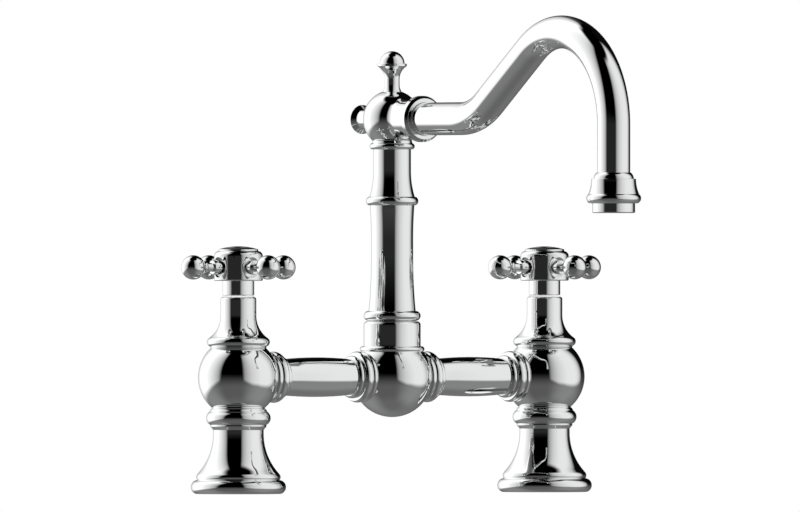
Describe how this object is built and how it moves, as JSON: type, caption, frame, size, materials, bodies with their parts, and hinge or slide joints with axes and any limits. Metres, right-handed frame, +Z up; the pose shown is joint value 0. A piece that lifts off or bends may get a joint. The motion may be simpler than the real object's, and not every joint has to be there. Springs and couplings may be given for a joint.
{
  "type": "bridge kitchen faucet",
  "caption": "Deck-mounted bridge kitchen faucet in polished chrome: two pillars with cross handles, a horizontal bridge, a central turned column and a swivelling crook-shaped spout.",
  "frame": {"origin": "on the worktop plane, midway between the two pillars, where the column's axis meets it", "axes": "+X along the bridge from the hot (left) pillar to the cold (right) one, +Z up the column, spout towards -Y at rest"},
  "size_m": [0.276, 0.2694, 0.3245],
  "materials": {
    "polished_chrome": "polished chrome plate on brass",
    "bare_brass": "machined brass",
    "stainless": "machined stainless steel",
    "ceramic": "lapped alumina",
    "white_acetal": "moulded acetal",
    "aerator_plastic": "moulded plastic",
    "rubber_seals": "black moulded rubber"
  },
  "bodies": {
    "faucet_body": {"left_shank": "bare_brass", "left_foot": "polished_chrome", "left_pillar_ring": "polished_chrome", "left_valve_body": "polished_chrome", "left_cartridge_body": "bare_brass", "left_seat_seal": "rubber_seals", "left_fixed_disc": "ceramic", "left_bonnet": "polished_chrome", "left_glide_ring": "white_acetal", "left_bridge_arm": "polished_chrome", "right_shank": "bare_brass", "right_foot": "polished_chrome", "right_pillar_ring": "polished_chrome", "right_valve_body": "polished_chrome", "right_cartridge_body": "bare_brass", "right_seat_seal": "rubber_seals", "right_fixed_disc": "ceramic", "right_bonnet": "polished_chrome", "right_glide_ring": "white_acetal", "right_bridge_arm": "polished_chrome", "bridge_collars": "polished_chrome", "union_washers": "rubber_seals", "deck_gaskets": "rubber_seals", "under_deck_washers": "rubber_seals", "clamp_washers": "stainless", "back_nuts": "bare_brass", "centre_body": "polished_chrome", "swivel_bush": "white_acetal", "spout_lock_screw": "stainless"},
    "hot_handle": {"left_moving_disc": "ceramic", "left_spindle": "bare_brass", "left_spindle_seals": "rubber_seals", "left_handle_sleeve": "polished_chrome", "left_handle_hub": "polished_chrome", "left_handle_arms": "polished_chrome", "left_handle_screw": "stainless", "left_index_cap": "polished_chrome"},
    "cold_handle": {"right_moving_disc": "ceramic", "right_spindle": "bare_brass", "right_spindle_seals": "rubber_seals", "right_handle_sleeve": "polished_chrome", "right_handle_hub": "polished_chrome", "right_handle_arms": "polished_chrome", "right_handle_screw": "stainless", "right_index_cap": "polished_chrome"},
    "spout": {"riser_tube": "bare_brass", "swivel_seals": "rubber_seals", "lower_column": "polished_chrome", "mid_ring": "polished_chrome", "upper_column": "polished_chrome", "spout_head": "polished_chrome", "finial": "polished_chrome", "rear_plug": "polished_chrome", "spout_collar": "polished_chrome", "spout_tube": "polished_chrome", "outlet_collar": "polished_chrome", "aerator_housing": "polished_chrome", "aerator_insert": "aerator_plastic", "aerator_washer": "rubber_seals"}
  },
  "joints": [
    {"name": "hot_handle_turn", "type": "hinge", "parent": "faucet_body", "child": "hot_handle", "pos_m": [-0.1016, 0, 0.12], "axis": [0, 0, 1], "range_deg": [0, 90]},
    {"name": "cold_handle_turn", "type": "hinge", "parent": "faucet_body", "child": "cold_handle", "pos_m": [0.1016, 0, 0.12], "axis": [0, 0, 1], "range_deg": [-90, 0]},
    {"name": "spout_swivel", "type": "hinge", "parent": "faucet_body", "child": "spout", "pos_m": [0, 0, 0.095], "axis": [0, 0, 1], "continuous": true}
  ]
}
